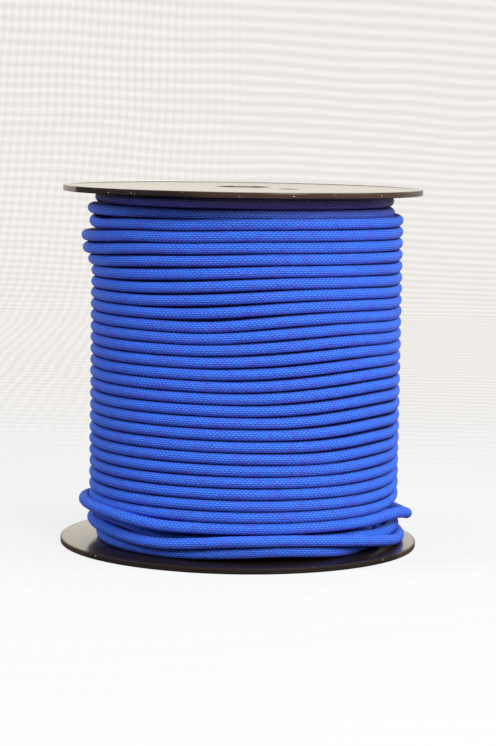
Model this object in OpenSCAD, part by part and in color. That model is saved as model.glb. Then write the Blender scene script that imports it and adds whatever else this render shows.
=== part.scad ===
// Reel of braided cord: a barrel between two flanges, wound level with cord.
// The reel stands on its lower flange. The origin is the middle of its base, +Z runs up the spindle
// bore, and the winding angle is counted from the front (-Y) towards the right (+X).

/* [Flanges] */
// Diameter of each flange
flange_d = 150; // [148:1:160]
// Height over both rims
reel_h = 150; // [150:0.1:150.6]
// Thickness of the rim
rim_t = 2.4; // [2.2:0.1:2.4]
// Width of the raised bead round the rim
rim_w = 2.6; // [2:0.2:4]
// How far the bead and the bore's mouth stand proud of the flat outer face
bead_h = 0.2; // [0.1:0.1:0.6]
// Rounding of the rim's edges
rim_r = 0.5; // [0.3:0.1:0.8]

/* [Hub] */
// Spindle bore
bore_d = 22; // [20:0.5:24]
// Wall of the bore's sleeve
hub_wall = 2.5; // [2:0.5:4]
// Length of the sleeve, from the reel's end inwards
hub_l = 14.6; // [8:0.2:20]
// Radius at which the outer face starts to rise to the bore's mouth
boss_r = 20; // [16:1:20]
// Lead-in chamfer at the bore's mouth
bore_chamfer = 0.8; // [0.4:0.2:1.2]
// Drive hole for a winder's pin
drive_d = 9; // [6:0.5:10]
// Distance of the drive hole from the bore's axis
drive_r = 25; // [23:0.5:26]
// Where the upper flange's drive hole stands, from the front towards the right
drive_az = 48; // [0:1:60]
// Stiffening ribs between the sleeve and the spigot
hub_ribs = 6; // [3:1:6]
// Thickness of a rib
rib_t = 1.6; // [1.2:0.2:2]
// Height of a rib above the flange's inner face
rib_h = 3; // [2:0.5:3]

/* [Barrel] */
// Outer diameter of the barrel
barrel_d = 72; // [72:1:80]
// Wall of the barrel
barrel_wall = 2.5; // [2:0.5:3]
// How far a flange's spigot enters the barrel
spigot_l = 8; // [6:1:10]
// Wall of the spigot
spigot_wall = 2; // [1.6:0.2:2.4]
// Gap between the spigot and the barrel, on the radius
spigot_gap = 0.05; // [0.05:0.05:0.2]

/* [Cord] */
// Diameter of the cord
cord_d = 4.8; // [4.6:0.05:4.8]
// Radius of the outer layer, to the cord's middle
wind_r = 62.7; // [62.7:0.1:64]
// How far the winding lies off the bore's axis, to the right
wind_shift = 2; // [0:0.1:2.4]
// Height of the cord's middle on the lowest level
first_level = 6.01; // [5.9:0.01:6.1]
// Step from one level to the next
level_step = 4.762; // [4.76:0.001:4.77]
// How much closer the levels lie at the top, summed over the reel
level_sag = 1.92; // [1.9:0.01:1.95]

/* [Hidden] */

black = [0.07, 0.06, 0.055];
blue = [0.07, 0.22, 0.82];
shade_blue = [0.05, 0.15, 0.6];
$fn = 96;

web_t = rim_t - bead_h;            // plate inside the bead
inner_face = rim_t;                // height of the lower flange's inner face
barrel_r = barrel_d / 2;
spigot_r = barrel_r - barrel_wall - spigot_gap;
hub_r = bore_d / 2 + hub_wall;
spigot_chamfer = 0.8;
joint_overlap = 0.4;               // ribs run this far into the walls that they join

// The regular laps. The cord runs almost level round the reel, then climbs to the next level in a
// short crossover, which comes round a little sooner on each lap.
crossover_every = 354.766;         // degrees of winding from one crossover to the next
crossover_start = -77.1;           // winding angle at which the lowest level begins
crossover_w = 0.214;               // share of a lap that a crossover takes
creep = 0.187;                     // share of the step that the level stretch climbs
levels = 29;

// Where laps stand out of line: [winding angle, spread, outward, upward]
slack = [
    [360 * 27 - 105, 34, 1.2, 2.4],
    [360 * 26 - 86, 42, 4.1, 0.5],
    [360 * 25 - 86, 36, 3.6, 0.1],
    [360 * 24 - 88, 36, 1.2, 0],
    [360 * 3 - 10, 70, 0, 0.15]
];

// Where neighbouring laps lie higher or lower together:
// [angle round the reel, breadth, lap, spread in laps, upward]
swell = [
    [78, 0.054, 9.2, 4.4, -2.17],
    [74, 0.069, 20.5, 6, -1.01],
    [-11.6, 0.041, 18.9, 1.08, -0.79],
    [-43.7, 0.107, 25.6, 3.03, 1.52],
    [37, 0.169, 8.07, 2.37, -0.51],
    [-27, 0.09, 26.6, 1.9, -1.16]
];

// Routes that no rule gives: [winding angle, radius, height] of the cord's middle.
// At the top the cord comes up from the layer below and lies sunk beside the flange.
top_route = [
    [9870, 62.7, 137.59], [9900, 62.7, 137.66], [9945, 63.6, 139.2], [9990, 64.4, 140.5],
    [10010, 63.4, 140.5], [10025, 61.6, 140.4], [10035, 60.3, 140.4], [10050, 59.4, 140.4],
    [10070, 59.2, 140.4], [10125, 59.2, 140.4], [10190, 59.0, 140.4], [10205, 59.1, 140.7],
    [10220, 59.6, 141.5], [10235, 60.6, 142.5], [10260, 62, 143.9], [10310, 62.4, 145],
    [10350, 61.4, 145.15], [10370, 60.8, 145.15], [10395, 60.2, 145.15], [10440, 59.8, 145.15],
    [10490, 59.2, 145.15], [10530, 58.6, 145.15], [10560, 58.4, 145.15]
];
// At the bottom the last turns lie loose: one bows out at the right, the next is tucked under the
// one after it, and the end lies on the flange at the back.
low_route = [
    [-485, 59.4, 4.9], [-448, 59.5, 4.75], [-425, 60.2, 4.65], [-400, 61.2, 4.65],
    [-385, 61.4, 4.75], [-372, 61.7, 5.5], [-358, 62.2, 6.45], [-345, 62.4, 6.8], [-335, 62.4, 6.3],
    [-325, 61.6, 5.4], [-315, 59.5, 4.75], [-305, 57.9, 4.65], [-290, 57.7, 4.65],
    [-275, 57.9, 4.65], [-255, 59.2, 4.65], [-230, 60.4, 4.65], [-180, 62.0, 4.7], [-150, 63.0, 5.8],
    [-120, 63.6, 8.5], [-88, 63.4, 10.3], [-72, 63.3, 10.15], [-60, 63.5, 9.8], [-50, 63.9, 9.2],
    [-40, 64.4, 8.6], [-30, 64.6, 8.5], [-20, 64.7, 9.4], [-5, 64.8, 10.95], [8, 64.8, 11.4],
    [20, 64.8, 11.25], [43, 65.2, 9.4], [58, 65.6, 7.3], [73, 65.9, 5.3], [87, 66.0, 4.7],
    [115, 65.8, 5.6], [140, 65.3, 7.4], [160, 64.6, 8.85], [180, 63.0, 9.8], [212, 61.0, 10.8],
    [232, 60.4, 12.4], [250, 61.0, 13.9], [270, 61.8, 14.95], [288, 62.0, 14.8], [300, 61.4, 14.45],
    [310, 60.1, 13.3], [320, 59.3, 11.1], [330, 59.1, 9.8], [345, 59.1, 10.0], [358, 59.1, 10.6],
    [370, 59.1, 10.8], [385, 59.1, 10.6], [403, 59.1, 9.75], [412, 60.1, 9.45], [421, 61.4, 8.8],
    [435, 62.3, 8.8], [450, 63.5, 9.5], [465, 63.0, 10.5], [485, 61.6, 12.0], [500, 61.3, 12.4],
    [520, 61.6, 13.4], [540, 62.2, 14.5], [572, 63.6, 15.45], [590, 64.9, 15.5], [605, 66.0, 16.5],
    [632, 67.0, 18.3], [655, 67.0, 18.4], [670, 66.8, 17.8], [680, 66.4, 16.9], [690, 65.2, 15.95],
    [704, 63.2, 15.9], [720, 62.7, 16.0], [740, 62.7, 16.05], [763, 62.7, 16.0], [778, 63.5, 16.1],
    [790, 65.6, 16.6], [799, 68.0, 15.7], [808, 69.1, 13.7], [818, 68.2, 12.6], [835, 66.4, 13.4],
    [860, 64.6, 16.6], [900, 62.7, 19.3], [950, 62.7, 20.3], [990, 62.7, 20.32], [1020, 62.7, 20.45]
];
low_end = -485;                    // the cord's free end
low_top = 1000;                    // below this angle the low route holds
low_join = 1260;                   // the last turns meet the outer layer here, at the back
top_join = 9900;                   // the outer layer meets the top turns here, at the back
top_end = 10560;                   // the cord comes up from the layer below here
bow = [780, 840];                  // the bowed stretch, which has closer rings

ring_step = 15;                    // winding angle from ring to ring, 24 to a lap
sides = 6;
chord_fix = 2 / (1 + cos(ring_step / 2));  // keeps straight chords on the true radius

// The plain core under the wound cord
core_r = 59.8;
core_low_r = 54.9;
core_top_r = 55.6;
core_low_z = 17.2;
core_top_z = 138.2;
core_gap = 0.15;                   // clear of the flanges
rise_r = 50;                       // radius on which the cord comes up from the layer below
rise_turn = 92;

function ease(t) = let(c = min(1, max(0, t))) c * c * (3 - 2 * c);

function level(n) =
    let(f = n - floor(n))
    floor(n) + creep * f + (1 - creep) * ease((f - 0.5) / crossover_w + 0.5);

function bell(b, s) = exp(-pow((b - s[0]) / s[1], 2));

function lift(b, s) = s[4] * exp((cos(b - s[0]) - 1) / s[1] - pow((b / 360 - s[2]) / s[3], 2));

function sum(list, i = 0) = i < len(list) ? list[i] + sum(list, i + 1) : 0;

// Radius and height of a regular lap at winding angle b
function regular(b) =
    let(
        n = level((b - crossover_start) / crossover_every),
        out = sum([for (s = slack) s[2] * bell(b, s)]),
        up = sum([for (s = slack) s[3] * bell(b, s)]) + sum([for (s = swell) lift(b, s)])
    )
    [wind_r + out, first_level + level_step * n - level_sag * pow(n / levels, 2) + up];

// Smooth curve through a route's points
function slope(r, i, k) =
    let(a = max(0, i - 1), c = min(len(r) - 1, i + 1))
    (r[c][k] - r[a][k]) / (r[c][0] - r[a][0]);

function below(r, b) = max([for (i = [0:len(r) - 2]) if (i == 0 || r[i][0] <= b) i]);

function curve(r, b, k) =
    let(i = below(r, b), w = r[i + 1][0] - r[i][0], t = (b - r[i][0]) / w)
    r[i][k] * (1 + 2 * t) * pow(1 - t, 2) + w * slope(r, i, k) * t * pow(1 - t, 2)
    + r[i + 1][k] * t * t * (3 - 2 * t) + w * slope(r, i + 1, k) * t * t * (t - 1);

function along(r, b) = [curve(r, b, 1), curve(r, b, 2)];

function place(b) =
    b < low_top ? along(low_route, b)
    : b > top_join ? along(top_route, b)
    : regular(b);

function middle(b) =
    let(p = place(b), r = p[0] * chord_fix)
    [wind_shift + r * sin(b), -r * cos(b), p[1]];

// Two stretches of the cord meet face to face, halfway along the chord between two rings.
function joint(b) = (middle(b - ring_step / 2) + middle(b + ring_step / 2)) / 2;

function unit(v) = v / norm(v);

function ring(p, way) =
    let(out = unit(cross(way, [0, 0, 1])), up = cross(out, way))
    [for (j = [0:sides - 1]) let(a = 360 * j / sides) p + cord_d / 2 * (cos(a) * out + sin(a) * up)];

function rings(path) =
    let(last = len(path) - 1)
    [for (i = [0:last]) ring(path[i], unit(path[min(last, i + 1)] - path[max(0, i - 1)]))];

// Least distance between the points of rings at least half a lap apart
function least_gap(r, apart) =
    min([
        for (i = [0:len(r) - 1 - apart])
            for (j = [i + apart:min(len(r) - 1, i + 2.5 * apart)])
                for (p = r[i])
                    for (q = r[j]) norm(p - q)
    ]);

module tube(name, path) {
    r = rings(path);
    last = len(path) - 1;
    echo(str(name, ": least gap to itself, mm"), least_gap(r, round(180 / ring_step)));
    walls = [
        for (i = [0:last - 1])
            for (j = [0:sides - 1])
                let(a = i * sides + j, b = i * sides + (j + 1) % sides)
                each [[a, b, a + sides], [b, b + sides, a + sides]]
    ];
    end = last * sides;
    caps = [
        for (j = [1:sides - 2])
            each [[0, j + 1, j], [end, end + j, end + j + 1]]
    ];
    polyhedron(points = [for (s = r) each s], faces = concat(walls, caps));
}

// One flange lying on its outer face, seen from its inner side
module rim_section() {
    r = flange_d / 2;
    translate([bore_d / 2, bead_h]) square([r - bore_d / 2 - rim_r, web_t]);
    translate([r - rim_w, rim_r]) square([rim_w, rim_t - 2 * rim_r]);
    translate([r - rim_w + rim_r, 0]) square([rim_w - 2 * rim_r, rim_t]);
    for (x = [r - rim_w + rim_r, r - rim_r])
        for (z = [rim_r, rim_t - rim_r])
            translate([x, z]) circle(r = rim_r);
}

module hub_section() {
    translate([bore_d / 2, 0]) square([hub_wall, hub_l]);
    polygon([
        [bore_d / 2, 0], [hub_r, 0], [boss_r, bead_h], [boss_r, inner_face], [bore_d / 2, inner_face]
    ]);
    polygon([
        [spigot_r - spigot_wall, bead_h], [spigot_r, bead_h],
        [spigot_r, inner_face + spigot_l - spigot_chamfer],
        [spigot_r - spigot_chamfer, inner_face + spigot_l],
        [spigot_r - spigot_wall, inner_face + spigot_l]
    ]);
}

module hub_rib(az) {
    from = hub_r - joint_overlap;
    to = spigot_r - spigot_wall + joint_overlap;
    rotate(az) translate([-rib_t / 2, -to, inner_face - joint_overlap])
        cube([rib_t, to - from, rib_h + joint_overlap]);
}

module flange() {
    difference() {
        union() {
            rotate_extrude() rim_section();
            rotate_extrude() hub_section();
            for (i = [0:hub_ribs - 1]) hub_rib((i + 0.5) * 360 / hub_ribs - drive_az);
        }
        rotate(-drive_az) translate([0, -drive_r, -1]) cylinder(d = drive_d, h = rim_t + 2);
        translate([0, 0, -0.01])
            cylinder(d1 = bore_d + 2 * bore_chamfer, d2 = bore_d, h = bore_chamfer);
    }
}

// Both flanges come from one mould, so the upper one is the same piece turned over.
module lower_flange() {
    color(black) flange();
}

module upper_flange() {
    color(black) translate([0, 0, reel_h]) rotate([0, 180, 0]) flange();
}

module barrel() {
    color(black) translate([0, 0, inner_face]) difference() {
        cylinder(d = barrel_d, h = reel_h - 2 * rim_t);
        translate([0, 0, -1]) cylinder(d = barrel_d - 2 * barrel_wall, h = reel_h);
    }
}

// The layers under the outer one. Beside each flange they lie lower, and at the top the end of the
// last of them comes up to meet the outer layer.
module cord_rise() {
    from = middle(top_end);
    way = from - middle(top_end - ring_step / 2);
    translate(from) rotate(atan2(way[1], way[0]) - 90) translate([-rise_r, 0, 0])
        rotate_extrude(angle = rise_turn) translate([rise_r, 0]) circle(d = cord_d, $fn = 32);
}

module cord_inner_layers() {
    low = inner_face + core_gap;
    high = reel_h - rim_t - core_gap;
    color(shade_blue) difference() {
        union() {
            translate([wind_shift, 0, 0]) rotate_extrude() polygon([
                [0, low], [core_low_r, low], [core_low_r, core_low_z], [core_r, core_low_z],
                [core_r, core_top_z], [core_top_r, core_top_z], [core_top_r, high], [0, high]
            ]);
            cord_rise();
        }
        cylinder(r = barrel_r + core_gap, h = reel_h);
    }
}

module cord_top_turns() {
    color(blue) tube("cord_top_turns", concat(
        [joint(top_join)],
        [for (b = [top_join + ring_step / 2:ring_step:top_end - ring_step / 2]) middle(b)],
        [middle(top_end)]
    ));
}

module cord_outer_layer() {
    color(blue) tube("cord_outer_layer", concat(
        [joint(low_join)],
        [for (b = [low_join + ring_step / 2:ring_step:top_join - ring_step / 2]) middle(b)],
        [joint(top_join)]
    ));
}

module cord_last_turns() {
    steps = [for (b = [low_join - ring_step / 2:-ring_step:low_end + ring_step / 2]) b];
    closer = [
        for (b = steps)
            each b > bow[0] && b < bow[1] ? [b, b - ring_step / 2] : [b]
    ];
    color(blue) tube("cord_last_turns", concat(
        [for (i = [len(closer) - 1:-1:0]) middle(closer[i])],
        [joint(low_join)]
    ));
}

lower_flange();
upper_flange();
barrel();
cord_inner_layers();
cord_top_turns();
cord_outer_layer();
cord_last_turns();
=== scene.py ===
"""A reel of braided cord, standing on its lower flange.

Lengths are in metres. The reel stands on z = 0 with its spindle bore on the Z axis, +X to the right and
-Y to the front. The winding angle is counted in degrees from the front towards the right, and grows as
the cord climbs from the lower flange to the upper one.
"""

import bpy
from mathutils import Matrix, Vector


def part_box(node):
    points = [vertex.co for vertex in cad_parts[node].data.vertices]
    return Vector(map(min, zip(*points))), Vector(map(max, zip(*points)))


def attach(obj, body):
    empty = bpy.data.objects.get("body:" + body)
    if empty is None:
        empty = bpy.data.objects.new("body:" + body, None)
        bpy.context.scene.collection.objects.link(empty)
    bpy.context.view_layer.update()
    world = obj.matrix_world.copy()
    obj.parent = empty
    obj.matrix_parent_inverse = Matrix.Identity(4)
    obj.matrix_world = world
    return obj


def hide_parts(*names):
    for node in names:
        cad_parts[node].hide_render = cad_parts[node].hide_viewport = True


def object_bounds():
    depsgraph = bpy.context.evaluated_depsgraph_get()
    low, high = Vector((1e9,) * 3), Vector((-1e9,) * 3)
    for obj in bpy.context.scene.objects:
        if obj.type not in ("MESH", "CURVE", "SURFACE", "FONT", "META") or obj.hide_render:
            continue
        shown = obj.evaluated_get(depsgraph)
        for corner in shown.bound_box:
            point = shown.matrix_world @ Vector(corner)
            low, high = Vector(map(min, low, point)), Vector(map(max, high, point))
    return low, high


bl_info = {
    "name": "Braided Cord Reel",
    "version": (1, 0, 0),
    "blender": (4, 5, 0),
    "location": "View3D > Sidebar > Cord Reel",
    "description": "Dresses a flanged reel wound with braided cord",
    "category": "Add Mesh",
}

import math

import bmesh
import bpy
import numpy as np
from bpy.props import FloatProperty, FloatVectorProperty, IntProperty, PointerProperty
from mathutils import Matrix, Vector, noise

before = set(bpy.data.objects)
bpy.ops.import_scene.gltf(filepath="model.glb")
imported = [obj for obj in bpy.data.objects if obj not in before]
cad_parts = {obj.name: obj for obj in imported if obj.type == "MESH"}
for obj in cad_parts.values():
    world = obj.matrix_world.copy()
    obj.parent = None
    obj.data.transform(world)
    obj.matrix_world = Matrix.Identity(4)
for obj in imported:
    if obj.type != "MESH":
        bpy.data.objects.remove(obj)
CAD_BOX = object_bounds()
FLANGE_LOW, FLANGE_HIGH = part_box("lower_flange")

# ---------------------------------------------------------------- sizes of the cord's route

# The regular laps run almost level, then climb to the next level in a short crossover.
CROSSOVER_EVERY = 354.766
CROSSOVER_START = -77.1
CROSSOVER_WIDTH = 0.214
CREEP = 0.187
LEVELS = 29
WIND_RADIUS = 0.0627
WIND_SHIFT = 0.002
FIRST_LEVEL = 0.00601
LEVEL_STEP = 0.004762
LEVEL_SAG = 0.00192

# Where laps stand out of line: winding angle, spread, outward, upward
SLACK = (
    (360 * 27 - 105, 34, 0.0012, 0.0024),
    (360 * 26 - 86, 42, 0.0041, 0.0005),
    (360 * 25 - 86, 36, 0.0036, 0.0001),
    (360 * 24 - 88, 36, 0.0012, 0),
    (360 * 3 - 10, 70, 0, 0.00015),
)

# Where neighbouring laps lie higher or lower together: angle round the reel, breadth, lap, spread in
# laps, upward
SWELL = (
    (78, 0.054, 9.2, 4.4, -0.00217),
    (74, 0.069, 20.5, 6, -0.00101),
    (-11.6, 0.041, 18.9, 1.08, -0.00079),
    (-43.7, 0.107, 25.6, 3.03, 0.00152),
    (37, 0.169, 8.07, 2.37, -0.00051),
    (-27, 0.09, 26.6, 1.9, -0.00116),
)

# Routes that no rule gives: winding angle, radius and height of the cord's middle
TOP_ROUTE = (
    (9870, 0.0627, 0.13759), (9900, 0.0627, 0.13766), (9945, 0.0636, 0.1392), (9990, 0.0644, 0.1405),
    (10010, 0.0634, 0.1405), (10025, 0.0616, 0.1404), (10035, 0.0603, 0.1404), (10050, 0.0594, 0.1404),
    (10070, 0.0592, 0.1404), (10125, 0.0592, 0.1404), (10190, 0.059, 0.1404), (10205, 0.0591, 0.1407),
    (10220, 0.0596, 0.1415), (10235, 0.0606, 0.1425), (10260, 0.062, 0.1439), (10310, 0.0624, 0.145),
    (10350, 0.0614, 0.14515), (10370, 0.0608, 0.14515), (10395, 0.0602, 0.14515),
    (10440, 0.0598, 0.14515), (10490, 0.0592, 0.14515), (10530, 0.0586, 0.14515),
    (10560, 0.0584, 0.14515),
)
LOW_ROUTE = (
    (-485, 0.0594, 0.0049), (-448, 0.0595, 0.00475), (-425, 0.0602, 0.00465), (-400, 0.0612, 0.00465),
    (-385, 0.0614, 0.00475), (-372, 0.0617, 0.0055), (-358, 0.0622, 0.00645), (-345, 0.0624, 0.0068),
    (-335, 0.0624, 0.0063), (-325, 0.0616, 0.0054), (-315, 0.0595, 0.00475), (-305, 0.0579, 0.00465),
    (-290, 0.0577, 0.00465), (-275, 0.0579, 0.00465), (-255, 0.0592, 0.00465), (-230, 0.0604, 0.00465),
    (-180, 0.062, 0.0047), (-150, 0.063, 0.0058), (-120, 0.0636, 0.0085), (-88, 0.0634, 0.0103),
    (-72, 0.0633, 0.01015), (-60, 0.0635, 0.0098), (-50, 0.0639, 0.0092), (-40, 0.0644, 0.0086),
    (-30, 0.0646, 0.0085), (-20, 0.0647, 0.0094), (-5, 0.0648, 0.01095), (8, 0.0648, 0.0114),
    (20, 0.0648, 0.01125), (43, 0.0652, 0.0094), (58, 0.0656, 0.0073), (73, 0.0659, 0.0053),
    (87, 0.066, 0.0047), (115, 0.0658, 0.0056), (140, 0.0653, 0.0074), (160, 0.0646, 0.00885),
    (180, 0.063, 0.0098), (212, 0.061, 0.0108), (232, 0.0604, 0.0124), (250, 0.061, 0.0139),
    (270, 0.0618, 0.01495), (288, 0.062, 0.0148), (300, 0.0614, 0.01445), (310, 0.0601, 0.0133),
    (320, 0.0593, 0.0111), (330, 0.0591, 0.0098), (345, 0.0591, 0.01), (358, 0.0591, 0.0106),
    (370, 0.0591, 0.0108), (385, 0.0591, 0.0106), (403, 0.0591, 0.00975), (412, 0.0601, 0.00945),
    (421, 0.0614, 0.0088), (435, 0.0623, 0.0088), (450, 0.0635, 0.0095), (465, 0.063, 0.0105),
    (485, 0.0616, 0.012), (500, 0.0613, 0.0124), (520, 0.0616, 0.0134), (540, 0.0622, 0.0145),
    (572, 0.0636, 0.01545), (590, 0.0649, 0.0155), (605, 0.066, 0.0165), (632, 0.067, 0.0183),
    (655, 0.067, 0.0184), (670, 0.0668, 0.0178), (680, 0.0664, 0.0169), (690, 0.0652, 0.01595),
    (704, 0.0632, 0.0159), (720, 0.0627, 0.016), (740, 0.0627, 0.01605), (763, 0.0627, 0.016),
    (778, 0.0635, 0.0161), (790, 0.0656, 0.0166), (799, 0.068, 0.0157), (808, 0.0691, 0.0137),
    (818, 0.0682, 0.0126), (835, 0.0664, 0.0134), (860, 0.0646, 0.0166), (900, 0.0627, 0.0193),
    (950, 0.0627, 0.0203), (990, 0.0627, 0.02032), (1020, 0.0627, 0.02045),
)
SEAM = 0.02           # the braid's columns stand this far off the mesh's seam, in turns round the cord
LOW_END = -485        # the cord's free end, on the lower flange
LOW_TOP = 1000        # below this angle the low route holds
TOP_JOIN = 9900       # above this angle the top route holds
TOP_END = 10560       # here the cord comes up from the layer below
RISE_RADIUS = 0.05    # radius of the arc on which it comes up
RISE_TURN = 92        # degrees of that arc

# The cord's waver: swings per metre of cord, and where in the noise each is read
SWING_SLOW = (22, 3.1, 7.7)
SWING_QUICK = (70, 8.3, 2.9)
SWING_UP = (26, 11.9, 5.3)
STEADY_END = 0.03     # the waver dies away over this length at either end

# The layer below: its outer radius, its distance from the ends, and how deep and from what height it
# dips beside each flange
INNER_RADIUS = 0.0598
INNER_GAP = 0.0025
INNER_DIP_LOW = (0.0049, 0.0156)
INNER_DIP_HIGH = (0.0042, 0.1365)
INNER_DIP_BLEND = 0.0035

# ---------------------------------------------------------------- finishes' places and scales

# Heights between which a finish, a painted shade, a painted reflection or a painted highlight comes in
TOP_TURNS = (0.1375, 0.1465)
UNDER_FLANGE = (0.1451, 0.1467)
TIGHT_LAPS = (0.0205, 0.0225)
LOWER_FLANGE = (0.02, 0.01)
UPPER_FLANGE = (0.1, 0.12)
RIM_SIDE = (0.0008, 0.0002)     # inwards from a flange's edge, between which its side's finish comes in

# Scales of the noise in the braid, the plastic and the backdrop
JITTER_SCALE = 700
FLECK_SCALE = 1500
PATCH_SCALE = 260
CLOUD_SCALE = 45
SCUFF_SCALE = 420
NICK_AND_GLINT_SCALE = 480
DRIFT_SCALE = 7
LUMP_SCALE = 900

FLANGE_SEGMENTS = 224
SHARP_FROM = 38       # degrees between faces

# ---------------------------------------------------------------- the stage

CAMERA_PLACE = (0, -0.99859, 0.17854)
CAMERA_LENS = 115.07
CAMERA_TURN = (6.1011, 0.9281, 0.1844)      # degrees downwards, rolled and to the right
LAMP_TARGET = (0, 0, 0.08)

# Name, place, size, watts and colour
LAMPS = (
    ("key_lamp", (0.63, -1.09, 0.75), 0.55, 22, (1, 0.985, 0.96)),
    ("left_lamp", (-1.4, -0.35, 0.86), 0.7, 15.8, (0.88, 0.93, 1)),
    ("right_lamp", (1.45, -0.25, 0.88), 0.7, 10.2, (0.86, 0.97, 1)),
    ("top_lamp", (0.1, -0.2, 1.7), 1.2, 12, (1, 0.99, 0.97)),
)

FLOOR_TINT = (0.885, 0.89, 0.895)
WALL_TINT = (0.8, 0.765, 0.725)
WEAVE_TINT = (1.03, 1.03, 1.03)
WEAVE_ACROSS = 760    # radians per metre
WEAVE_UP = 340
MIRRORED_NEAR = (0.06, 0.045, 0.04)         # what the gloss of the reel shows of the floor before it
MIRRORED_FAR = (1.04, 0.975, 0.87)
ROOM_DARK = (0.1, 0.085, 0.075)
ROOM_LIGHT = (0.62, 0.605, 0.58)
ROOM_SEEN = (0.88, 0.875, 0.87)

# ---------------------------------------------------------------- along the cord's route


def ease(t):
    """Smooth step from 0 to 1."""
    t = min(1, max(0, t))
    return t * t * (3 - 2 * t)


def level(laps):
    """Height in levels after so many laps: a slow creep, and a climb in the middle of the lap."""
    whole = math.floor(laps)
    part = laps - whole
    return whole + CREEP * part + (1 - CREEP) * ease((part - 0.5) / CROSSOVER_WIDTH + 0.5)


def lift(angle, swell):
    """What one of the swells adds to a lap's height."""
    facing = (math.cos(math.radians(angle - swell[0])) - 1) / swell[1]
    return swell[4] * math.exp(facing - ((angle / 360 - swell[2]) / swell[3]) ** 2)


def regular_lap(angle):
    """Radius and height of a regular lap of the outer layer."""
    n = level((angle - CROSSOVER_START) / CROSSOVER_EVERY)
    bells = [math.exp(-((angle - s[0]) / s[1]) ** 2) for s in SLACK]
    out = sum(s[2] * bell for s, bell in zip(SLACK, bells))
    up = sum(s[3] * bell for s, bell in zip(SLACK, bells)) + sum(lift(angle, s) for s in SWELL)
    return WIND_RADIUS + out, FIRST_LEVEL + LEVEL_STEP * n - LEVEL_SAG * (n / LEVELS) ** 2 + up


def route_slope(route, i, k):
    before, after = route[max(0, i - 1)], route[min(len(route) - 1, i + 1)]
    return (after[k] - before[k]) / (after[0] - before[0])


def along_route(route, angle):
    """Radius and height on the smooth curve through a route's points."""
    i = max([0] + [n for n, point in enumerate(route[:-1]) if point[0] <= angle])
    width = route[i + 1][0] - route[i][0]
    t = (angle - route[i][0]) / width
    return [
        route[i][k] * (1 + 2 * t) * (1 - t) ** 2
        + width * route_slope(route, i, k) * t * (1 - t) ** 2
        + route[i + 1][k] * t * t * (3 - 2 * t)
        + width * route_slope(route, i + 1, k) * t * t * (t - 1)
        for k in (1, 2)
    ]


def cord_middle(angle):
    """The middle of the outer cord at a winding angle."""
    if angle < LOW_TOP:
        radius, height = along_route(LOW_ROUTE, angle)
    elif angle > TOP_JOIN:
        radius, height = along_route(TOP_ROUTE, angle)
    else:
        radius, height = regular_lap(angle)
    turn = math.radians(angle)
    return np.array([WIND_SHIFT + radius * math.sin(turn), -radius * math.cos(turn), height])


def rise_points(step):
    """The arc on which the cord comes up from the layer below, from inside to the top turn."""
    start = cord_middle(TOP_END)
    way = start - cord_middle(TOP_END - 1)
    heading = math.atan2(way[1], way[0]) - math.pi / 2
    centre = start - RISE_RADIUS * np.array([math.cos(heading), math.sin(heading), 0])
    turns = [heading + math.radians(a) for a in np.arange(RISE_TURN, 0, -step)]
    return [centre + RISE_RADIUS * np.array([math.cos(a), math.sin(a), 0]) for a in turns]


# ---------------------------------------------------------------- settings


class ReelSizes(bpy.types.PropertyGroup):
    """Sizes of the reel's mouldings."""

    flange_d: FloatProperty(
        name="Flange diameter", description="Across each flange", unit="LENGTH",
        default=FLANGE_HIGH.x - FLANGE_LOW.x)
    height: FloatProperty(
        name="Height", description="Over both rims", unit="LENGTH", default=CAD_BOX[1].z)
    rim_t: FloatProperty(
        name="Rim thickness", description="Thickness of a flange's rim", unit="LENGTH", default=0.0024)
    rim_w: FloatProperty(
        name="Bead width", description="Width of the raised bead round the rim", unit="LENGTH",
        default=0.0026)
    bead_h: FloatProperty(
        name="Bead height", unit="LENGTH", default=0.0002,
        description="How far the bead and the bore's mouth stand proud of the outer face")
    rim_round: FloatProperty(
        name="Rim rounding", description="Radius on the bead's edges", unit="LENGTH", default=0.0005)
    bore_d: FloatProperty(
        name="Bore diameter", description="Diameter of the spindle bore", unit="LENGTH", default=0.022)
    bore_chamfer: FloatProperty(
        name="Bore chamfer", description="Lead-in at the bore's mouth", unit="LENGTH", default=0.0008)
    sleeve_wall: FloatProperty(
        name="Sleeve wall", description="Wall of the bore's sleeve", unit="LENGTH", default=0.0025)
    sleeve_l: FloatProperty(
        name="Sleeve height", description="From the table to the sleeve's inner end", unit="LENGTH",
        default=FLANGE_HIGH.z)
    boss_r: FloatProperty(
        name="Boss radius", description="Where the outer face starts to rise to the bore's mouth",
        unit="LENGTH", default=0.02)
    spigot_r: FloatProperty(
        name="Spigot radius", description="Outer radius of the spigot", unit="LENGTH", default=0.03345)
    spigot_wall: FloatProperty(
        name="Spigot wall", description="Wall of the spigot", unit="LENGTH", default=0.002)
    spigot_l: FloatProperty(
        name="Spigot length", description="How far the spigot enters the barrel", unit="LENGTH",
        default=0.008)
    drive_d: FloatProperty(
        name="Drive hole", description="Diameter of the drive hole", unit="LENGTH", default=0.009)
    drive_r: FloatProperty(
        name="Drive hole offset", description="From the bore's axis", unit="LENGTH", default=0.025)
    drive_az: FloatProperty(
        name="Drive hole angle", description="On the upper flange, from the front to the right",
        unit="ROTATION", default=math.radians(48))
    ribs: IntProperty(name="Ribs", description="Ribs between sleeve and spigot", default=6)
    rib_t: FloatProperty(
        name="Rib thickness", description="Thickness of a rib", unit="LENGTH", default=0.0016)
    rib_h: FloatProperty(
        name="Rib height", description="Above the inner face", unit="LENGTH", default=0.003)


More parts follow.
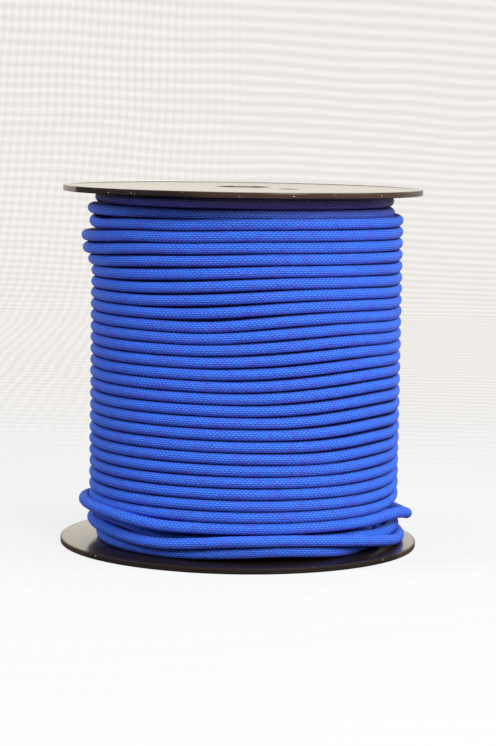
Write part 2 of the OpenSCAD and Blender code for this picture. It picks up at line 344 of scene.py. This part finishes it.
class CordSizes(bpy.types.PropertyGroup):
    """Sizes of the cord and its braid."""

    diameter: FloatProperty(
        name="Diameter", description="Of the wound cord", unit="LENGTH", default=0.0048)
    flatness: FloatProperty(
        name="Flatness", description="How much lower than wide the wound cord is", default=0.03)
    columns: IntProperty(name="Columns", description="Columns of stitches round the cord", default=16)
    stitch: FloatProperty(
        name="Stitch", description="Length of a stitch along the cord", unit="LENGTH", default=0.00178)
    twist: FloatProperty(
        name="Twist", description="Length over which the cord turns once about itself", unit="LENGTH",
        default=1.7)
    waver: FloatProperty(
        name="Waver", description="How far the cord strays from its route", unit="LENGTH",
        default=0.00012)


class ReelColours(bpy.types.PropertyGroup):
    """Colours of the finishes."""

    cord_lit: FloatVectorProperty(
        name="Cord", description="The braid's own blue", subtype="COLOR", default=(0.022, 0.116, 0.87))
    # Also the painted shade on each lap's underside
    cord_violet: FloatVectorProperty(
        name="Cord, violet", description="Where the braid's dye leans to violet", subtype="COLOR",
        default=(0.1, 0.05, 0.58))
    cord_sheen: FloatVectorProperty(
        name="Cord, sheen", description="The crowns of the stitches", subtype="COLOR",
        default=(0.06, 0.31, 0.95))
    # Painted shade in the braid's grooves and in the lines between laps; also the melted end's own dark
    # colour
    cord_groove_shade_and_melt: FloatVectorProperty(
        name="Cord, grooves", description="Between the stitches", subtype="COLOR",
        default=(0.045, 0.018, 0.28))
    # Painted shade on the cord beside the upper flange
    cord_flange_shade: FloatVectorProperty(
        name="Cord, stained", description="Beside the upper flange", subtype="COLOR",
        default=(0.18, 0.07, 0.05))
    plastic: FloatVectorProperty(
        name="Plastic", description="The flanges' black", subtype="COLOR", default=(0.04, 0.018, 0.01))
    # Also the colour of the painted highlight at the upper rim's left tip and, lightened, of the light
    # nicks that stand in for glints
    dust: FloatVectorProperty(
        name="Dust", description="Dust and rubbed edges", subtype="COLOR", default=(0.32, 0.28, 0.24))
    backdrop: FloatVectorProperty(
        name="Backdrop", description="Floor and backdrop", subtype="COLOR", default=(0.93, 0.92, 0.9))


# ---------------------------------------------------------------- shader helpers


class Wire:
    """A shader socket that takes part in Python arithmetic."""

    def __init__(self, shader, socket):
        self.shader = shader
        self.socket = socket

    def _math(self, operation, *values, clamp=False):
        inputs = dict(enumerate(values))
        return self.shader.node("ShaderNodeMath", {"operation": operation, "use_clamp": clamp}, inputs)

    def __add__(self, other):
        return self._math("ADD", self, other)

    def __sub__(self, other):
        return self._math("SUBTRACT", self, other)

    def __rsub__(self, other):
        return self._math("SUBTRACT", other, self)

    def __mul__(self, other):
        return self._math("MULTIPLY", self, other)

    def __truediv__(self, other):
        return self._math("DIVIDE", self, other)

    def __pow__(self, other):
        return self._math("POWER", self, other)

    def __mod__(self, other):
        return self._math("FLOORED_MODULO", self, other)

    def __abs__(self):
        return self._math("ABSOLUTE", self)

    def __or__(self, other):
        return self._math("MAXIMUM", self, other)

    __radd__ = __add__
    __rmul__ = __mul__

    def whole(self):
        return self._math("FLOOR", self)

    def part(self):
        return self._math("FRACT", self)

    def sine(self):
        return self._math("SINE", self)

    def clamped(self):
        return self._math("ADD", self, 0, clamp=True)

    def steps(self, low, high):
        """Smooth step from 0 at low to 1 at high."""
        settings = {"interpolation_type": "SMOOTHSTEP"}
        return self.shader.node("ShaderNodeMapRange", settings, {0: self, 1: low, 2: high, 3: 0, 4: 1})


class Shader:
    """A material, or the world, and the nodes in it."""

    def __init__(self, owner):
        self.owner = owner if isinstance(owner, bpy.types.World) else bpy.data.materials.new(owner)
        self.owner.use_nodes = True
        self.tree = self.owner.node_tree
        self.tree.nodes.clear()

    def node(self, kind, settings=None, inputs=None, output=0):
        """Adds a node, sets it, then gives its sockets values or links. Returns one output."""
        made = self.tree.nodes.new(kind)
        for key, value in (settings or {}).items():
            setattr(made, key, value)
        for key, value in (inputs or {}).items():
            if isinstance(value, Wire):
                self.tree.links.new(value.socket, made.inputs[key])
            elif hasattr(value, "__len__") and made.inputs[key].type == "RGBA":
                made.inputs[key].default_value = (*value[:3], 1)
            else:
                made.inputs[key].default_value = value
        return Wire(self, made.outputs[output]) if made.outputs else None

    def mix(self, share, first, second):
        """Colour from first to second."""
        return self.node("ShaderNodeMix", {"data_type": "RGBA"}, {0: share, 6: first, 7: second}, output=2)

    def noise(self, where, scale, detail=3, roughness=0.55):
        inputs = {"Vector": where, "Scale": scale, "Detail": detail, "Roughness": roughness}
        return self.node("ShaderNodeTexNoise", None, inputs)

    def place(self):
        return self.node("ShaderNodeTexCoord", output="Object")

    def scaled(self, where, scale):
        return self.node("ShaderNodeVectorMath", {"operation": "MULTIPLY"}, {0: where, 1: scale})

    def split(self, where):
        made = self.node("ShaderNodeSeparateXYZ", None, {0: where}).socket.node
        return [Wire(self, socket) for socket in made.outputs]

    def bump(self, height, strength, distance):
        inputs = {"Height": height, "Strength": strength, "Distance": distance}
        return self.node("ShaderNodeBump", None, inputs)

    def surface(self, **inputs):
        """The principled surface, by socket names with _ for a space."""
        named = {key.replace("_", " "): value for key, value in inputs.items()}
        return self.node("ShaderNodeBsdfPrincipled", None, named)

    def finish(self, surface):
        self.node("ShaderNodeOutputMaterial", None, {"Surface": surface})
        return self.owner


# ---------------------------------------------------------------- finishes


def shade(colour, share):
    """A colour made darker or lighter."""
    return [min(1, c * share) for c in colour]


def braid_finish(name, colours, sizes, depth=1.0):
    """Columns of slanted stitches, leaning left and right by turns, as a braid's strands lie.

    The UV map gives turns round the cord and metres along it.
    """
    shader = Shader(name)
    around, along, _ = shader.split(shader.node("ShaderNodeUVMap", {"uv_map": "braid"}))
    place = shader.place()
    column = (around + along / sizes.twist) * sizes.columns
    across = column.part() - 0.5
    leaning = column.whole() % 2
    jitter = shader.noise(place, JITTER_SCALE, detail=0) * 0.3
    stitch = (along / sizes.stitch + across * (leaning * 2 - 1) * 0.6 + leaning * 0.5 + jitter).part()
    swell = 1 - abs(stitch * 2 - 1) ** 2
    edge = 1 - abs(across * 2) ** 3
    height = swell * edge
    fleck = shader.noise(place, FLECK_SCALE, detail=1)
    patches = shader.noise(place, PATCH_SCALE, detail=2).steps(0.45, 0.65)
    rise = ((around - SEAM) * math.tau).sine()
    # Painted shade: each lap's underside leans to a darker violet; the patches and flecks are the dye's
    # own tone
    underside_shade = rise.steps(0.3, -0.8)
    violet = (patches * 0.4 + fleck.steps(0.45, 0.7) * 0.35 + underside_shade * 0.5 - 0.14).clamped()
    thread = shader.mix(violet, colours.cord_lit, colours.cord_violet)
    # Painted sheen on the stitches' crowns, and painted shade in the grooves between them
    thread = shader.mix(height.steps(0.35, 0.95) * (0.78 - violet * 0.5), thread, colours.cord_sheen)
    colour = shader.mix(height.steps(0.0, 0.5) * 0.74 + 0.26, colours.cord_groove_shade_and_melt, thread)
    # Painted shade on the cord beside the upper flange, darkest under its left edge
    x, _, z = shader.split(place)
    flange_shade = z.steps(*TOP_TURNS) * (0.62 - x.steps(0, -0.05) * 0.3)
    colour = shader.mix(flange_shade, colour, colours.cord_flange_shade)
    under_flange_shade = z.steps(*UNDER_FLANGE) * x.steps(0.015, -0.03) * 0.88
    colour = shader.mix(under_flange_shade, colour, shade(colours.cord_flange_shade, 0.1))
    # Painted shade: a dark line along each lap's top where the next lap presses on it, above the lowest
    # laps, and along every lap's underside
    lap_contact_shade = (rise * z.steps(*TIGHT_LAPS)).steps(0.84, 0.98) | rise.steps(-0.78, -0.97)
    colour = shader.mix(lap_contact_shade * 0.9, colour, shade(colours.cord_groove_shade_and_melt, 0.25))
    normal = shader.bump(height + fleck * 0.2, 0.9 * depth, 0.0004)
    return shader.finish(shader.surface(
        Base_Color=colour, Roughness=0.6 - 0.1 * height, Specular_IOR_Level=0.15, Normal=normal))


def melted_finish(colours):
    """The cord's end, where heat has run the fibres together."""
    shader = Shader("melted_cord_end")
    lumps = shader.noise(shader.place(), LUMP_SCALE, detail=3)
    colour = shader.mix(lumps.steps(0.35, 0.7), shade(colours.cord_groove_shade_and_melt, 0.25), colours.cord_groove_shade_and_melt)
    normal = shader.bump(lumps, 0.5, 0.0003)
    return shader.finish(shader.surface(Base_Color=colour, Roughness=0.3 + 0.2 * lumps, Normal=normal))


def plastic_finish(name, colours, sizes, gloss):
    """Black moulded plastic with a polished face, fine scuffs, dust, light nicks that also stand in for
    glints, and a duller rim side; with painted dark reflections and a painted highlight at the upper rim's
    left tip.
    """
    shader = Shader(name)
    place = shader.place()
    x, y, z = shader.split(place)
    radius = (x * x + y * y) ** 0.5
    edge = sizes.flange_d / 2
    rim = radius.steps(edge - 1.6 * sizes.rim_w, edge - 0.4 * sizes.rim_w)
    side = radius.steps(edge - RIM_SIDE[0], edge - RIM_SIDE[1])
    cloud = shader.noise(place, CLOUD_SCALE, detail=4)
    scuffs = shader.noise(shader.scaled(place, (1, 1, 0.2)), SCUFF_SCALE, detail=4, roughness=0.7)
    # Painted dark reflections, where the coat is also cut: on the lower flange's front and on the upper
    # rim's left side. A painted highlight at that rim's left tip
    before_cord = abs(x - WIND_SHIFT).steps(0.065, 0.0615) * (y - (x | 0) * 0.3).steps(-0.02, -0.034)
    low_front_dark_reflection = before_cord * z.steps(*LOWER_FLANGE)
    high_side = side * z.steps(*UPPER_FLANGE)
    high_left_dark_reflection = high_side * x.steps(-0.005, -0.03) * x.steps(-0.0685, -0.067) * y.steps(0, -0.01)
    painted_tip_highlight = high_side * x.steps(-0.067, -0.0685) * 0.5
    painted_dark_reflection = low_front_dark_reflection | high_left_dark_reflection
    scratches = shader.noise(shader.scaled(place, (1, 1, 2)), NICK_AND_GLINT_SCALE, detail=2, roughness=0.6)
    nicks_and_glints = scratches.steps(0.69, 0.74) * rim
    dust = (scuffs.steps(0.55, 0.85) * 0.05 + cloud.steps(0.5, 0.8) * 0.03).clamped()
    colour = shader.mix(side, shade(colours.plastic, 0.6), colours.plastic)
    colour = shader.mix(dust, colour, colours.dust)
    # Nicks are real scratches, but their light colour also stands in for glints as a painted highlight
    colour = shader.mix(nicks_and_glints, colour, shade(colours.dust, 1.35))
    # Painted dark reflection on the lower flange's front and the upper rim's left side
    colour = shader.mix(painted_dark_reflection * (1 - nicks_and_glints) * 0.85, colour, shade(colours.plastic, 0.15))
    # Painted highlight at the upper rim's left tip
    colour = shader.mix(painted_tip_highlight, colour, colours.dust)
    rough = 0.4 + 0.2 * scuffs.steps(0.45, 0.8) + 0.3 * (nicks_and_glints | side)
    normal = shader.bump(cloud + scuffs * 0.25 - nicks_and_glints * 1.5, 0.12, 0.0004)
    return shader.finish(shader.surface(
        Base_Color=colour, Roughness=rough, Specular_IOR_Level=0.25,
        Coat_Weight=(1 - side * 0.6) * (1 - painted_dark_reflection * 0.93) * gloss, Coat_Roughness=0.15, Coat_IOR=1.6,
        Normal=normal))


def backdrop_paper(colours):
    """Pale paper with a faint weave.

    The camera, the reel's gloss and the light that it throws back each see it in a tint of their own.
    """
    shader = Shader("backdrop_paper")
    across, depth, up = shader.split(shader.place())
    seen = shader.node("ShaderNodeLightPath", output="Is Camera Ray")
    glossy = shader.node("ShaderNodeLightPath", output="Is Glossy Ray")
    through = shader.node("ShaderNodeLightPath", output="Is Transmission Ray")
    far = depth.steps(-0.1, 0.45)
    wall = depth.steps(0.1, 0.7)
    paper_colour = shader.mix(seen, shade(colours.backdrop, 0.3), colours.backdrop)
    paper = shader.node("ShaderNodeBsdfDiffuse", None, {"Color": paper_colour})
    tint = shader.mix(wall, FLOOR_TINT, WALL_TINT)
    mirrored = shader.mix(far, MIRRORED_NEAR, MIRRORED_FAR)
    drift = shader.noise(shader.place(), DRIFT_SCALE, detail=1) * 7
    columns = (across * WEAVE_ACROSS + drift).sine() * across.steps(0.05, -0.1)
    weave = columns * 0.4 + ((depth + up) * WEAVE_UP + across * 20 + drift).sine() * 0.6
    tint = shader.mix(weave.steps(-1, 1) * (wall * 0.4 + 0.12), tint, WEAVE_TINT)
    tint = shader.mix(glossy, tint, mirrored)
    glow = shader.node("ShaderNodeEmission", None, {"Color": tint, "Strength": 1})
    share = (seen | glossy | through) * (far * 0.12 + 0.88)
    return shader.finish(shader.node("ShaderNodeMixShader", None, {0: share, 1: paper, 2: glow}))


# ---------------------------------------------------------------- pieces


def new_piece(name, mesh, finishes, slot, *nodes):
    """Links a finished mesh, rides it on the reel and hides the nodes that it stands for."""
    piece = bpy.data.objects.new(name, mesh)
    bpy.context.scene.collection.objects.link(piece)
    for finish in finishes:
        mesh.materials.append(finish)
    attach(piece, "root")
    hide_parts(*nodes)
    return piece


def smooth(mesh):
    """Shades all of a mesh's faces smooth."""
    mesh.polygons.foreach_set("use_smooth", [True] * len(mesh.polygons))


def tube_mesh(name, points, half_w, half_h, sides, seam=0.0, end_scale=None):
    """A tube through the points, with a UV map of turns round and metres along.

    half_w and half_h are its half width and half height; end_scale gives each ring's share of them.
    """
    points = np.array(points)
    way = np.gradient(points, axis=0)
    way /= np.linalg.norm(way, axis=1)[:, None]
    out = np.cross(way, [0, 0, 1])
    out /= np.linalg.norm(out, axis=1)[:, None]
    up = np.cross(out, way)
    run = np.concatenate([[0], np.cumsum(np.linalg.norm(np.diff(points, axis=0), axis=1))])
    scale = np.ones(len(points)) if end_scale is None else np.array(end_scale)
    turn = np.arange(sides) / sides
    ring_out = np.cos(turn * math.tau)[None, :, None] * out[:, None, :] * half_w
    ring_up = np.sin(turn * math.tau)[None, :, None] * up[:, None, :] * half_h
    rings = points[:, None, :] + (ring_out + ring_up) * scale[:, None, None]
    last = len(points) - 1
    here = np.arange(last)[:, None] * sides
    side = np.arange(sides)
    after = (side + 1) % sides
    walls = np.stack([here + side, here + after, here + sides + after, here + sides + side], axis=2)
    faces = walls.reshape(-1, 4).tolist()
    faces += [list(range(sides))[::-1], [last * sides + j for j in range(sides)]]
    mesh = bpy.data.meshes.new(name)
    mesh.from_pydata(rings.reshape(-1, 3).tolist(), [], faces)
    uv = mesh.uv_layers.new(name="braid")
    u = np.stack([side, side + 1, side + 1, side], axis=1) / sides + seam
    wall_u = np.broadcast_to(u, (last, sides, 4))
    v = np.stack([run[:-1], run[:-1], run[1:], run[1:]], axis=1)
    wall_v = np.broadcast_to(v[:, None, :], (last, sides, 4))
    wall_uv = np.stack([wall_u, wall_v], axis=3).reshape(-1, 2)
    caps = np.concatenate([np.full((sides, 2), [0, run[0]]), np.full((sides, 2), [0, run[-1]])])
    uv.data.foreach_set("uv", np.concatenate([wall_uv, caps]).astype(np.float32).ravel())
    smooth(mesh)
    mesh.update()
    return mesh


def point_outwards(mesh):
    """Recalculates a closed mesh's normals."""
    bm = bmesh.new()
    bm.from_mesh(mesh)
    bmesh.ops.recalc_face_normals(bm, faces=bm.faces)
    bm.to_mesh(mesh)
    bm.free()
    return mesh


def swing(run, kind):
    """One of the swings of the cord's waver."""
    return noise.noise(Vector((run * kind[0], kind[1], kind[2])))


def waver(points, reach, outward):
    """Moves points a little to and fro, slowly along the cord, but not at its two ends."""
    moved = []
    run = 0.0
    total = sum(np.linalg.norm(b - a) for a, b in zip(points, points[1:]))
    before = points[0]
    for point, out in zip(points, outward):
        run += np.linalg.norm(point - before)
        before = point
        free = ease(min(run, total - run) / STEADY_END)
        sideways = swing(run, SWING_SLOW) + 0.5 * swing(run, SWING_QUICK)
        upwards = 0.6 * swing(run, SWING_UP)
        moved.append(point + free * reach * (out * sideways + np.array([0, 0, upwards])))
    return moved


def arc(centre_r, centre_z, radius, start, turn, parts=5):
    """Points (radius from the axis, height) along an arc, angles in degrees from outward to up."""
    angles = [math.radians(start + turn * i / parts) for i in range(parts + 1)]
    return [(centre_r + radius * math.cos(a), centre_z + radius * math.sin(a)) for a in angles]


def flange_section(s):
    """The closed outline that is spun into a flange, lying on its outer face."""
    edge, bore, web = s.flange_d / 2, s.bore_d / 2, s.bead_h
    sleeve, inside = bore + s.sleeve_wall, s.spigot_r - s.spigot_wall
    top = s.rim_t + s.spigot_l
    chamfer = s.bore_chamfer
    points = [(bore + chamfer, 0), (sleeve, 0), (s.boss_r, web), (edge - s.rim_w, web)]
    points += arc(edge - s.rim_w + s.rim_round, s.rim_round, s.rim_round, 180, 90)
    points += arc(edge - s.rim_round, s.rim_round, s.rim_round, 270, 90)
    points += arc(edge - s.rim_round, s.rim_t - s.rim_round, s.rim_round, 0, 90)
    points += [(s.spigot_r, s.rim_t), (s.spigot_r, top - chamfer), (s.spigot_r - chamfer, top)]
    points += [(inside, top), (inside, s.rim_t), (sleeve, s.rim_t)]
    points += [(sleeve, s.sleeve_l), (bore, s.sleeve_l), (bore, chamfer)]
    return points


def spin_outline(bm, outline, segments):
    """Spins a closed outline of (radius, height) about the Z axis."""
    verts = [bm.verts.new((r, 0, z)) for r, z in outline]
    edges = [bm.edges.new(pair) for pair in zip(verts, verts[1:] + verts[:1])]
    bmesh.ops.spin(
        bm, geom=verts + edges, cent=(0, 0, 0), axis=(0, 0, 1), angle=math.tau, steps=segments,
        use_merge=True)


def box_at(bm, size, place, turn=0.0):
    """Adds a box to a bmesh, turned about the Z axis after it is placed."""
    matrix = Matrix.Rotation(turn, 4, "Z") @ Matrix.Translation(place) @ Matrix.Diagonal((*size, 1))
    bmesh.ops.create_cube(bm, size=1, matrix=matrix)


def cylinder_at(bm, radius, depth, place, segments=48):
    bmesh.ops.create_cone(
        bm, cap_ends=True, segments=segments, radius1=radius, radius2=radius, depth=depth,
        matrix=Matrix.Translation(place))


def tool_object(name, fill):
    """A passing object whose mesh is filled by fill(bm)."""
    mesh = bpy.data.meshes.new(name)
    bm = bmesh.new()
    fill(bm)
    bm.to_mesh(mesh)
    bm.free()
    made = bpy.data.objects.new(name, mesh)
    bpy.context.scene.collection.objects.link(made)
    return made


def carved(body, tools):
    """The mesh of body after a boolean with each (object, operation); all objects are removed."""
    for tool, operation in tools:
        cut = body.modifiers.new(operation, "BOOLEAN")
        cut.operation = operation
        cut.solver = "EXACT"
        cut.object = tool
    bpy.context.view_layer.update()
    mesh = bpy.data.meshes.new_from_object(body.evaluated_get(bpy.context.evaluated_depsgraph_get()))
    for made in [body] + [tool for tool, _ in tools]:
        old = made.data
        bpy.data.objects.remove(made)
        bpy.data.meshes.remove(old)
    return mesh


def flange_mesh(name, s):
    """A flange lying on its outer face, with its bore, drive hole and ribs."""
    mid = s.rim_t / 2
    through = 4 * s.rim_t

    def disc(bm):
        spin_outline(bm, flange_section(s), FLANGE_SEGMENTS)
        bmesh.ops.remove_doubles(bm, verts=bm.verts, dist=1e-7)
        bmesh.ops.recalc_face_normals(bm, faces=bm.faces)

    def ribs(bm):
        sunk = 0.0004
        inner, outer = s.bore_d / 2 + s.sleeve_wall - sunk, s.spigot_r - s.spigot_wall + sunk
        size = (s.rib_t, outer - inner, s.rib_h + sunk)
        place = (0, -(inner + outer) / 2, s.rim_t + (s.rib_h - sunk) / 2)
        for i in range(s.ribs):
            box_at(bm, size, place, (i + 0.5) * math.tau / s.ribs - s.drive_az)

    def drive_hole(bm):
        place = Matrix.Rotation(-s.drive_az, 3, "Z") @ Vector((0, -s.drive_r, mid))
        cylinder_at(bm, s.drive_d / 2, through, place)

    mesh = carved(tool_object("disc", disc), [
        (tool_object("ribs", ribs), "UNION"),
        (tool_object("drive_hole", drive_hole), "DIFFERENCE"),
    ])
    mesh.name = name
    smooth(mesh)
    mesh.set_sharp_from_angle(angle=math.radians(SHARP_FROM))
    return mesh


class ReelOperator:
    """What the operators share."""

    bl_options = {"REGISTER", "UNDO"}

    def settings(self, context):
        scene = context.scene
        return scene.reel_sizes, scene.reel_cord, scene.reel_colours


class REEL_OT_stage(ReelOperator, bpy.types.Operator):
    """Camera, floor, backdrop and lamps"""

    bl_idname = "reel.stage"
    bl_label = "Stage"

    def execute(self, context):
        colours = context.scene.reel_colours
        self.camera(context)
        self.backdrop(context, colours)
        self.world(context)
        for settings in LAMPS:
            self.lamp(context, *settings)
        context.scene.view_settings.view_transform = "Standard"
        return {"FINISHED"}

    def camera(self, context):
        """The view is from a little above the reel's top, and looks slightly down."""
        data = bpy.data.cameras.new("camera")
        data.sensor_width = 36
        data.lens = CAMERA_LENS
        camera = bpy.data.objects.new("camera", data)
        pitch, roll, yaw = (math.radians(a) for a in CAMERA_TURN)
        level_way = Vector((math.sin(yaw), math.cos(yaw), 0))
        forward = level_way * math.cos(pitch) - Vector((0, 0, math.sin(pitch)))
        level_right = Vector((math.cos(yaw), -math.sin(yaw), 0))
        level_up = level_right.cross(forward)
        right = level_right * math.cos(roll) + level_up * math.sin(roll)
        up = level_up * math.cos(roll) - level_right * math.sin(roll)
        turn = Matrix((right, up, -forward)).transposed()
        camera.matrix_world = Matrix.Translation(CAMERA_PLACE) @ turn.to_4x4()
        context.scene.collection.objects.link(camera)
        context.scene.camera = camera

    def backdrop(self, context, colours):
        """A floor that sweeps up into a wall behind the reel."""
        half, front, back, bend, top = 2.4, -1.6, 1.1, 0.5, 2.2
        parts = 16
        outline = [(front, 0), (back, 0)]
        outline += [
            (back + bend * math.sin(a), bend - bend * math.cos(a))
            for a in (math.radians(90 * i / parts) for i in range(1, parts + 1))
        ]
        outline.append((back + bend, top))
        bm = bmesh.new()
        verts = [bm.verts.new((-half, y, z)) for y, z in outline]
        edges = [bm.edges.new(pair) for pair in zip(verts, verts[1:])]
        made = bmesh.ops.extrude_edge_only(bm, edges=edges)["geom"]
        bmesh.ops.translate(
            bm, verts=[v for v in made if isinstance(v, bmesh.types.BMVert)], vec=(2 * half, 0, 0))
        bmesh.ops.recalc_face_normals(bm, faces=bm.faces)
        if sum(face.normal.z for face in bm.faces) < 0:
            bmesh.ops.reverse_faces(bm, faces=bm.faces)
        mesh = bpy.data.meshes.new("backdrop")
        bm.to_mesh(mesh)
        bm.free()
        smooth(mesh)
        mesh.materials.append(backdrop_paper(colours))
        sweep = bpy.data.objects.new("backdrop", mesh)
        context.scene.collection.objects.link(sweep)

    def world(self, context):
        """A room that lights the reel more from behind and the right, and looks plain and pale."""
        context.scene.world = bpy.data.worlds.new("room")
        room = Shader(context.scene.world)
        across, depth, up = room.split(room.node("ShaderNodeTexCoord", output="Generated"))
        light = (depth * 0.6 + across * 0.3 + up * 0.35 + 0.1).steps(0, 1)
        colour = room.mix(light, ROOM_DARK, ROOM_LIGHT)
        seen = room.node("ShaderNodeLightPath", output="Is Camera Ray")
        colour = room.mix(seen, colour, ROOM_SEEN)
        glow = room.node("ShaderNodeBackground", None, {"Color": colour, "Strength": 1})
        room.node("ShaderNodeOutputWorld", None, {"Surface": glow})

    def lamp(self, context, name, place, size, power, colour):
        """A square soft lamp that faces the reel."""
        data = bpy.data.lights.new(name, "AREA")
        data.size = size
        data.energy = power
        data.color = colour
        made = bpy.data.objects.new(name, data)
        made.location = place
        made.rotation_euler = (Vector(LAMP_TARGET) - Vector(place)).to_track_quat("-Z", "Y").to_euler()
        context.scene.collection.objects.link(made)


class REEL_OT_flanges(ReelOperator, bpy.types.Operator):
    """The two flanges, one moulding used either way up"""

    bl_idname = "reel.flanges"
    bl_label = "Flanges"

    def execute(self, context):
        sizes, _, colours = self.settings(context)
        finish = plastic_finish("reel_plastic", colours, sizes, 1.0)
        for name in ("lower_flange", "upper_flange"):
            mesh = flange_mesh(name + "_moulding", sizes)
            if name == "upper_flange":
                turn_over = Matrix.Translation((0, 0, sizes.height)) @ Matrix.Rotation(math.pi, 4, "Y")
                mesh.transform(turn_over)
            new_piece(name + "_moulding", mesh, [finish], "reel_plastic", name)
        return {"FINISHED"}


class REEL_OT_barrel(ReelOperator, bpy.types.Operator):
    """The barrel's finish"""

    bl_idname = "reel.barrel"
    bl_label = "Barrel"

    def execute(self, context):
        sizes, _, colours = self.settings(context)
        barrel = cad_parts["barrel"]
        barrel.data.materials.clear()
        barrel.data.materials.append(plastic_finish("barrel_plastic", colours, sizes, 0.2))
        return {"FINISHED"}


class REEL_OT_inner_winding(ReelOperator, bpy.types.Operator):
    """The layer of cord below the outer one, round the layers that it hides"""

    bl_idname = "reel.inner_winding"
    bl_label = "Inner winding"

    sides = 12
    ring_step = 5
    hidden_segments = 96

    def execute(self, context):
        _, cord, colours = self.settings(context)
        thick = cord.diameter - 0.0001
        low, high = INNER_GAP + thick / 2, CAD_BOX[1].z - INNER_GAP - thick / 2
        laps = (high - low) / LEVEL_STEP
        points = []
        for angle in np.arange(0, 360 * laps, self.ring_step):
            height = high - (high - low) * angle / (360 * laps)
            radius = self.layer_radius(height) - thick / 2
            turn = math.radians(TOP_END + angle)
            points.append([WIND_SHIFT + radius * math.sin(turn), -radius * math.cos(turn), height])
        mesh = tube_mesh("inner_winding", points, thick / 2, thick / 2, self.sides, SEAM)
        bm = bmesh.new()
        bm.from_mesh(mesh)
        self.hidden_layers(bm)
        bmesh.ops.recalc_face_normals(bm, faces=bm.faces)
        bm.to_mesh(mesh)
        bm.free()
        finish = braid_finish("inner_braid", colours, cord, depth=0.6)
        new_piece("inner_winding", mesh, [finish], "cord_inside", "cord_inner_layers")
        return {"FINISHED"}

    def layer_radius(self, height):
        """Outer radius of the layer: it lies lower beside each flange."""
        low = INNER_DIP_LOW[0] * (1 - ease((height - INNER_DIP_LOW[1]) / INNER_DIP_BLEND))
        high = INNER_DIP_HIGH[0] * ease((height - INNER_DIP_HIGH[1]) / INNER_DIP_BLEND)
        return INNER_RADIUS - low - high

    def hidden_layers(self, bm):
        """A plain ring of the layers underneath, from the barrel to the wound one."""
        inside, outside, low = 0.0362, 0.0535, 0.0026
        high = CAD_BOX[1].z - low
        corners = [(inside, low), (outside, low), (outside, high), (inside, high)]
        spin_outline(bm, corners, self.hidden_segments)


class REEL_OT_cord(ReelOperator, bpy.types.Operator):
    """The outer cord, one length from the layer below to its sealed end"""

    bl_idname = "reel.cord"
    bl_label = "Outer cord"

    sides = 16
    ring_step = 3
    rise_step = 3.5
    sealed = 0.004
    seal_rings = ((0.0008, 0.97), (0.0016, 0.88), (0.0022, 0.7), (0.0025, 0.4))    # reach and share

    def execute(self, context):
        _, cord, colours = self.settings(context)
        inside = rise_points(self.rise_step)
        angles = np.arange(TOP_END, LOW_END - 0.01, -self.ring_step)
        laps = [cord_middle(a) for a in angles]
        outward = [np.array([0, 0, 0])] * len(inside)
        outward += [np.array([math.sin(math.radians(a)), -math.cos(math.radians(a)), 0]) for a in angles]
        points = waver(inside + laps, cord.waver, outward)
        points, scale = self.seal(points)
        half_h = cord.diameter / 2 * (1 - cord.flatness)
        half_w = cord.diameter / 2 * (1 + cord.flatness)
        mesh = point_outwards(tube_mesh("cord", points, half_w, half_h, self.sides, SEAM, scale))
        finishes = [braid_finish("braid", colours, cord), melted_finish(colours)]
        nodes = ("cord_top_turns", "cord_outer_layer", "cord_last_turns")
        piece = new_piece("cord", mesh, finishes, "cord_braid", *nodes)
        self.mark_end(mesh, points[-1])
        length = sum(np.linalg.norm(b - a) for a, b in zip(points, points[1:]))
        return {"FINISHED"}

    def seal(self, points):
        """Adds rings that round the cord's end, and gives each ring's share of the full section."""
        way = points[-1] - points[-2]
        way /= np.linalg.norm(way)
        scale = [1.0] * len(points)
        end = points[-1]
        for reach, share in self.seal_rings:
            points.append(end + way * reach)
            scale.append(share)
        return points, scale

    def mark_end(self, mesh, end):
        """Gives the faces round the sealed end their own finish."""
        for face in mesh.polygons:
            if (face.center - Vector(end)).length < self.sealed:
                face.material_index = 1


class REEL_PT_panel(bpy.types.Panel):
    """Lists the reel's pieces and settings"""

    bl_label = "Cord Reel"
    bl_idname = "REEL_PT_panel"
    bl_space_type = "VIEW_3D"
    bl_region_type = "UI"
    bl_category = "Cord Reel"

    def draw(self, context):
        for operator in OPERATORS:
            self.layout.operator(operator.bl_idname)
        for group in (context.scene.reel_sizes, context.scene.reel_cord, context.scene.reel_colours):
            box = self.layout.box()
            for key in group.__annotations__:
                box.prop(group, key)


OPERATORS = (REEL_OT_stage, REEL_OT_flanges, REEL_OT_barrel, REEL_OT_inner_winding, REEL_OT_cord)
CLASSES = (ReelSizes, CordSizes, ReelColours, *OPERATORS, REEL_PT_panel)


def register():
    for cls in CLASSES:
        bpy.utils.register_class(cls)
    bpy.types.Scene.reel_sizes = PointerProperty(type=ReelSizes)
    bpy.types.Scene.reel_cord = PointerProperty(type=CordSizes)
    bpy.types.Scene.reel_colours = PointerProperty(type=ReelColours)


def unregister():
    del bpy.types.Scene.reel_sizes
    del bpy.types.Scene.reel_cord
    del bpy.types.Scene.reel_colours
    for cls in reversed(CLASSES):
        bpy.utils.unregister_class(cls)


def main():
    register()
    bpy.ops.reel.stage()
    bpy.ops.reel.cord()
    bpy.ops.reel.inner_winding()
    bpy.ops.reel.flanges()
    bpy.ops.reel.barrel()


if __name__ == "__main__":
    main()
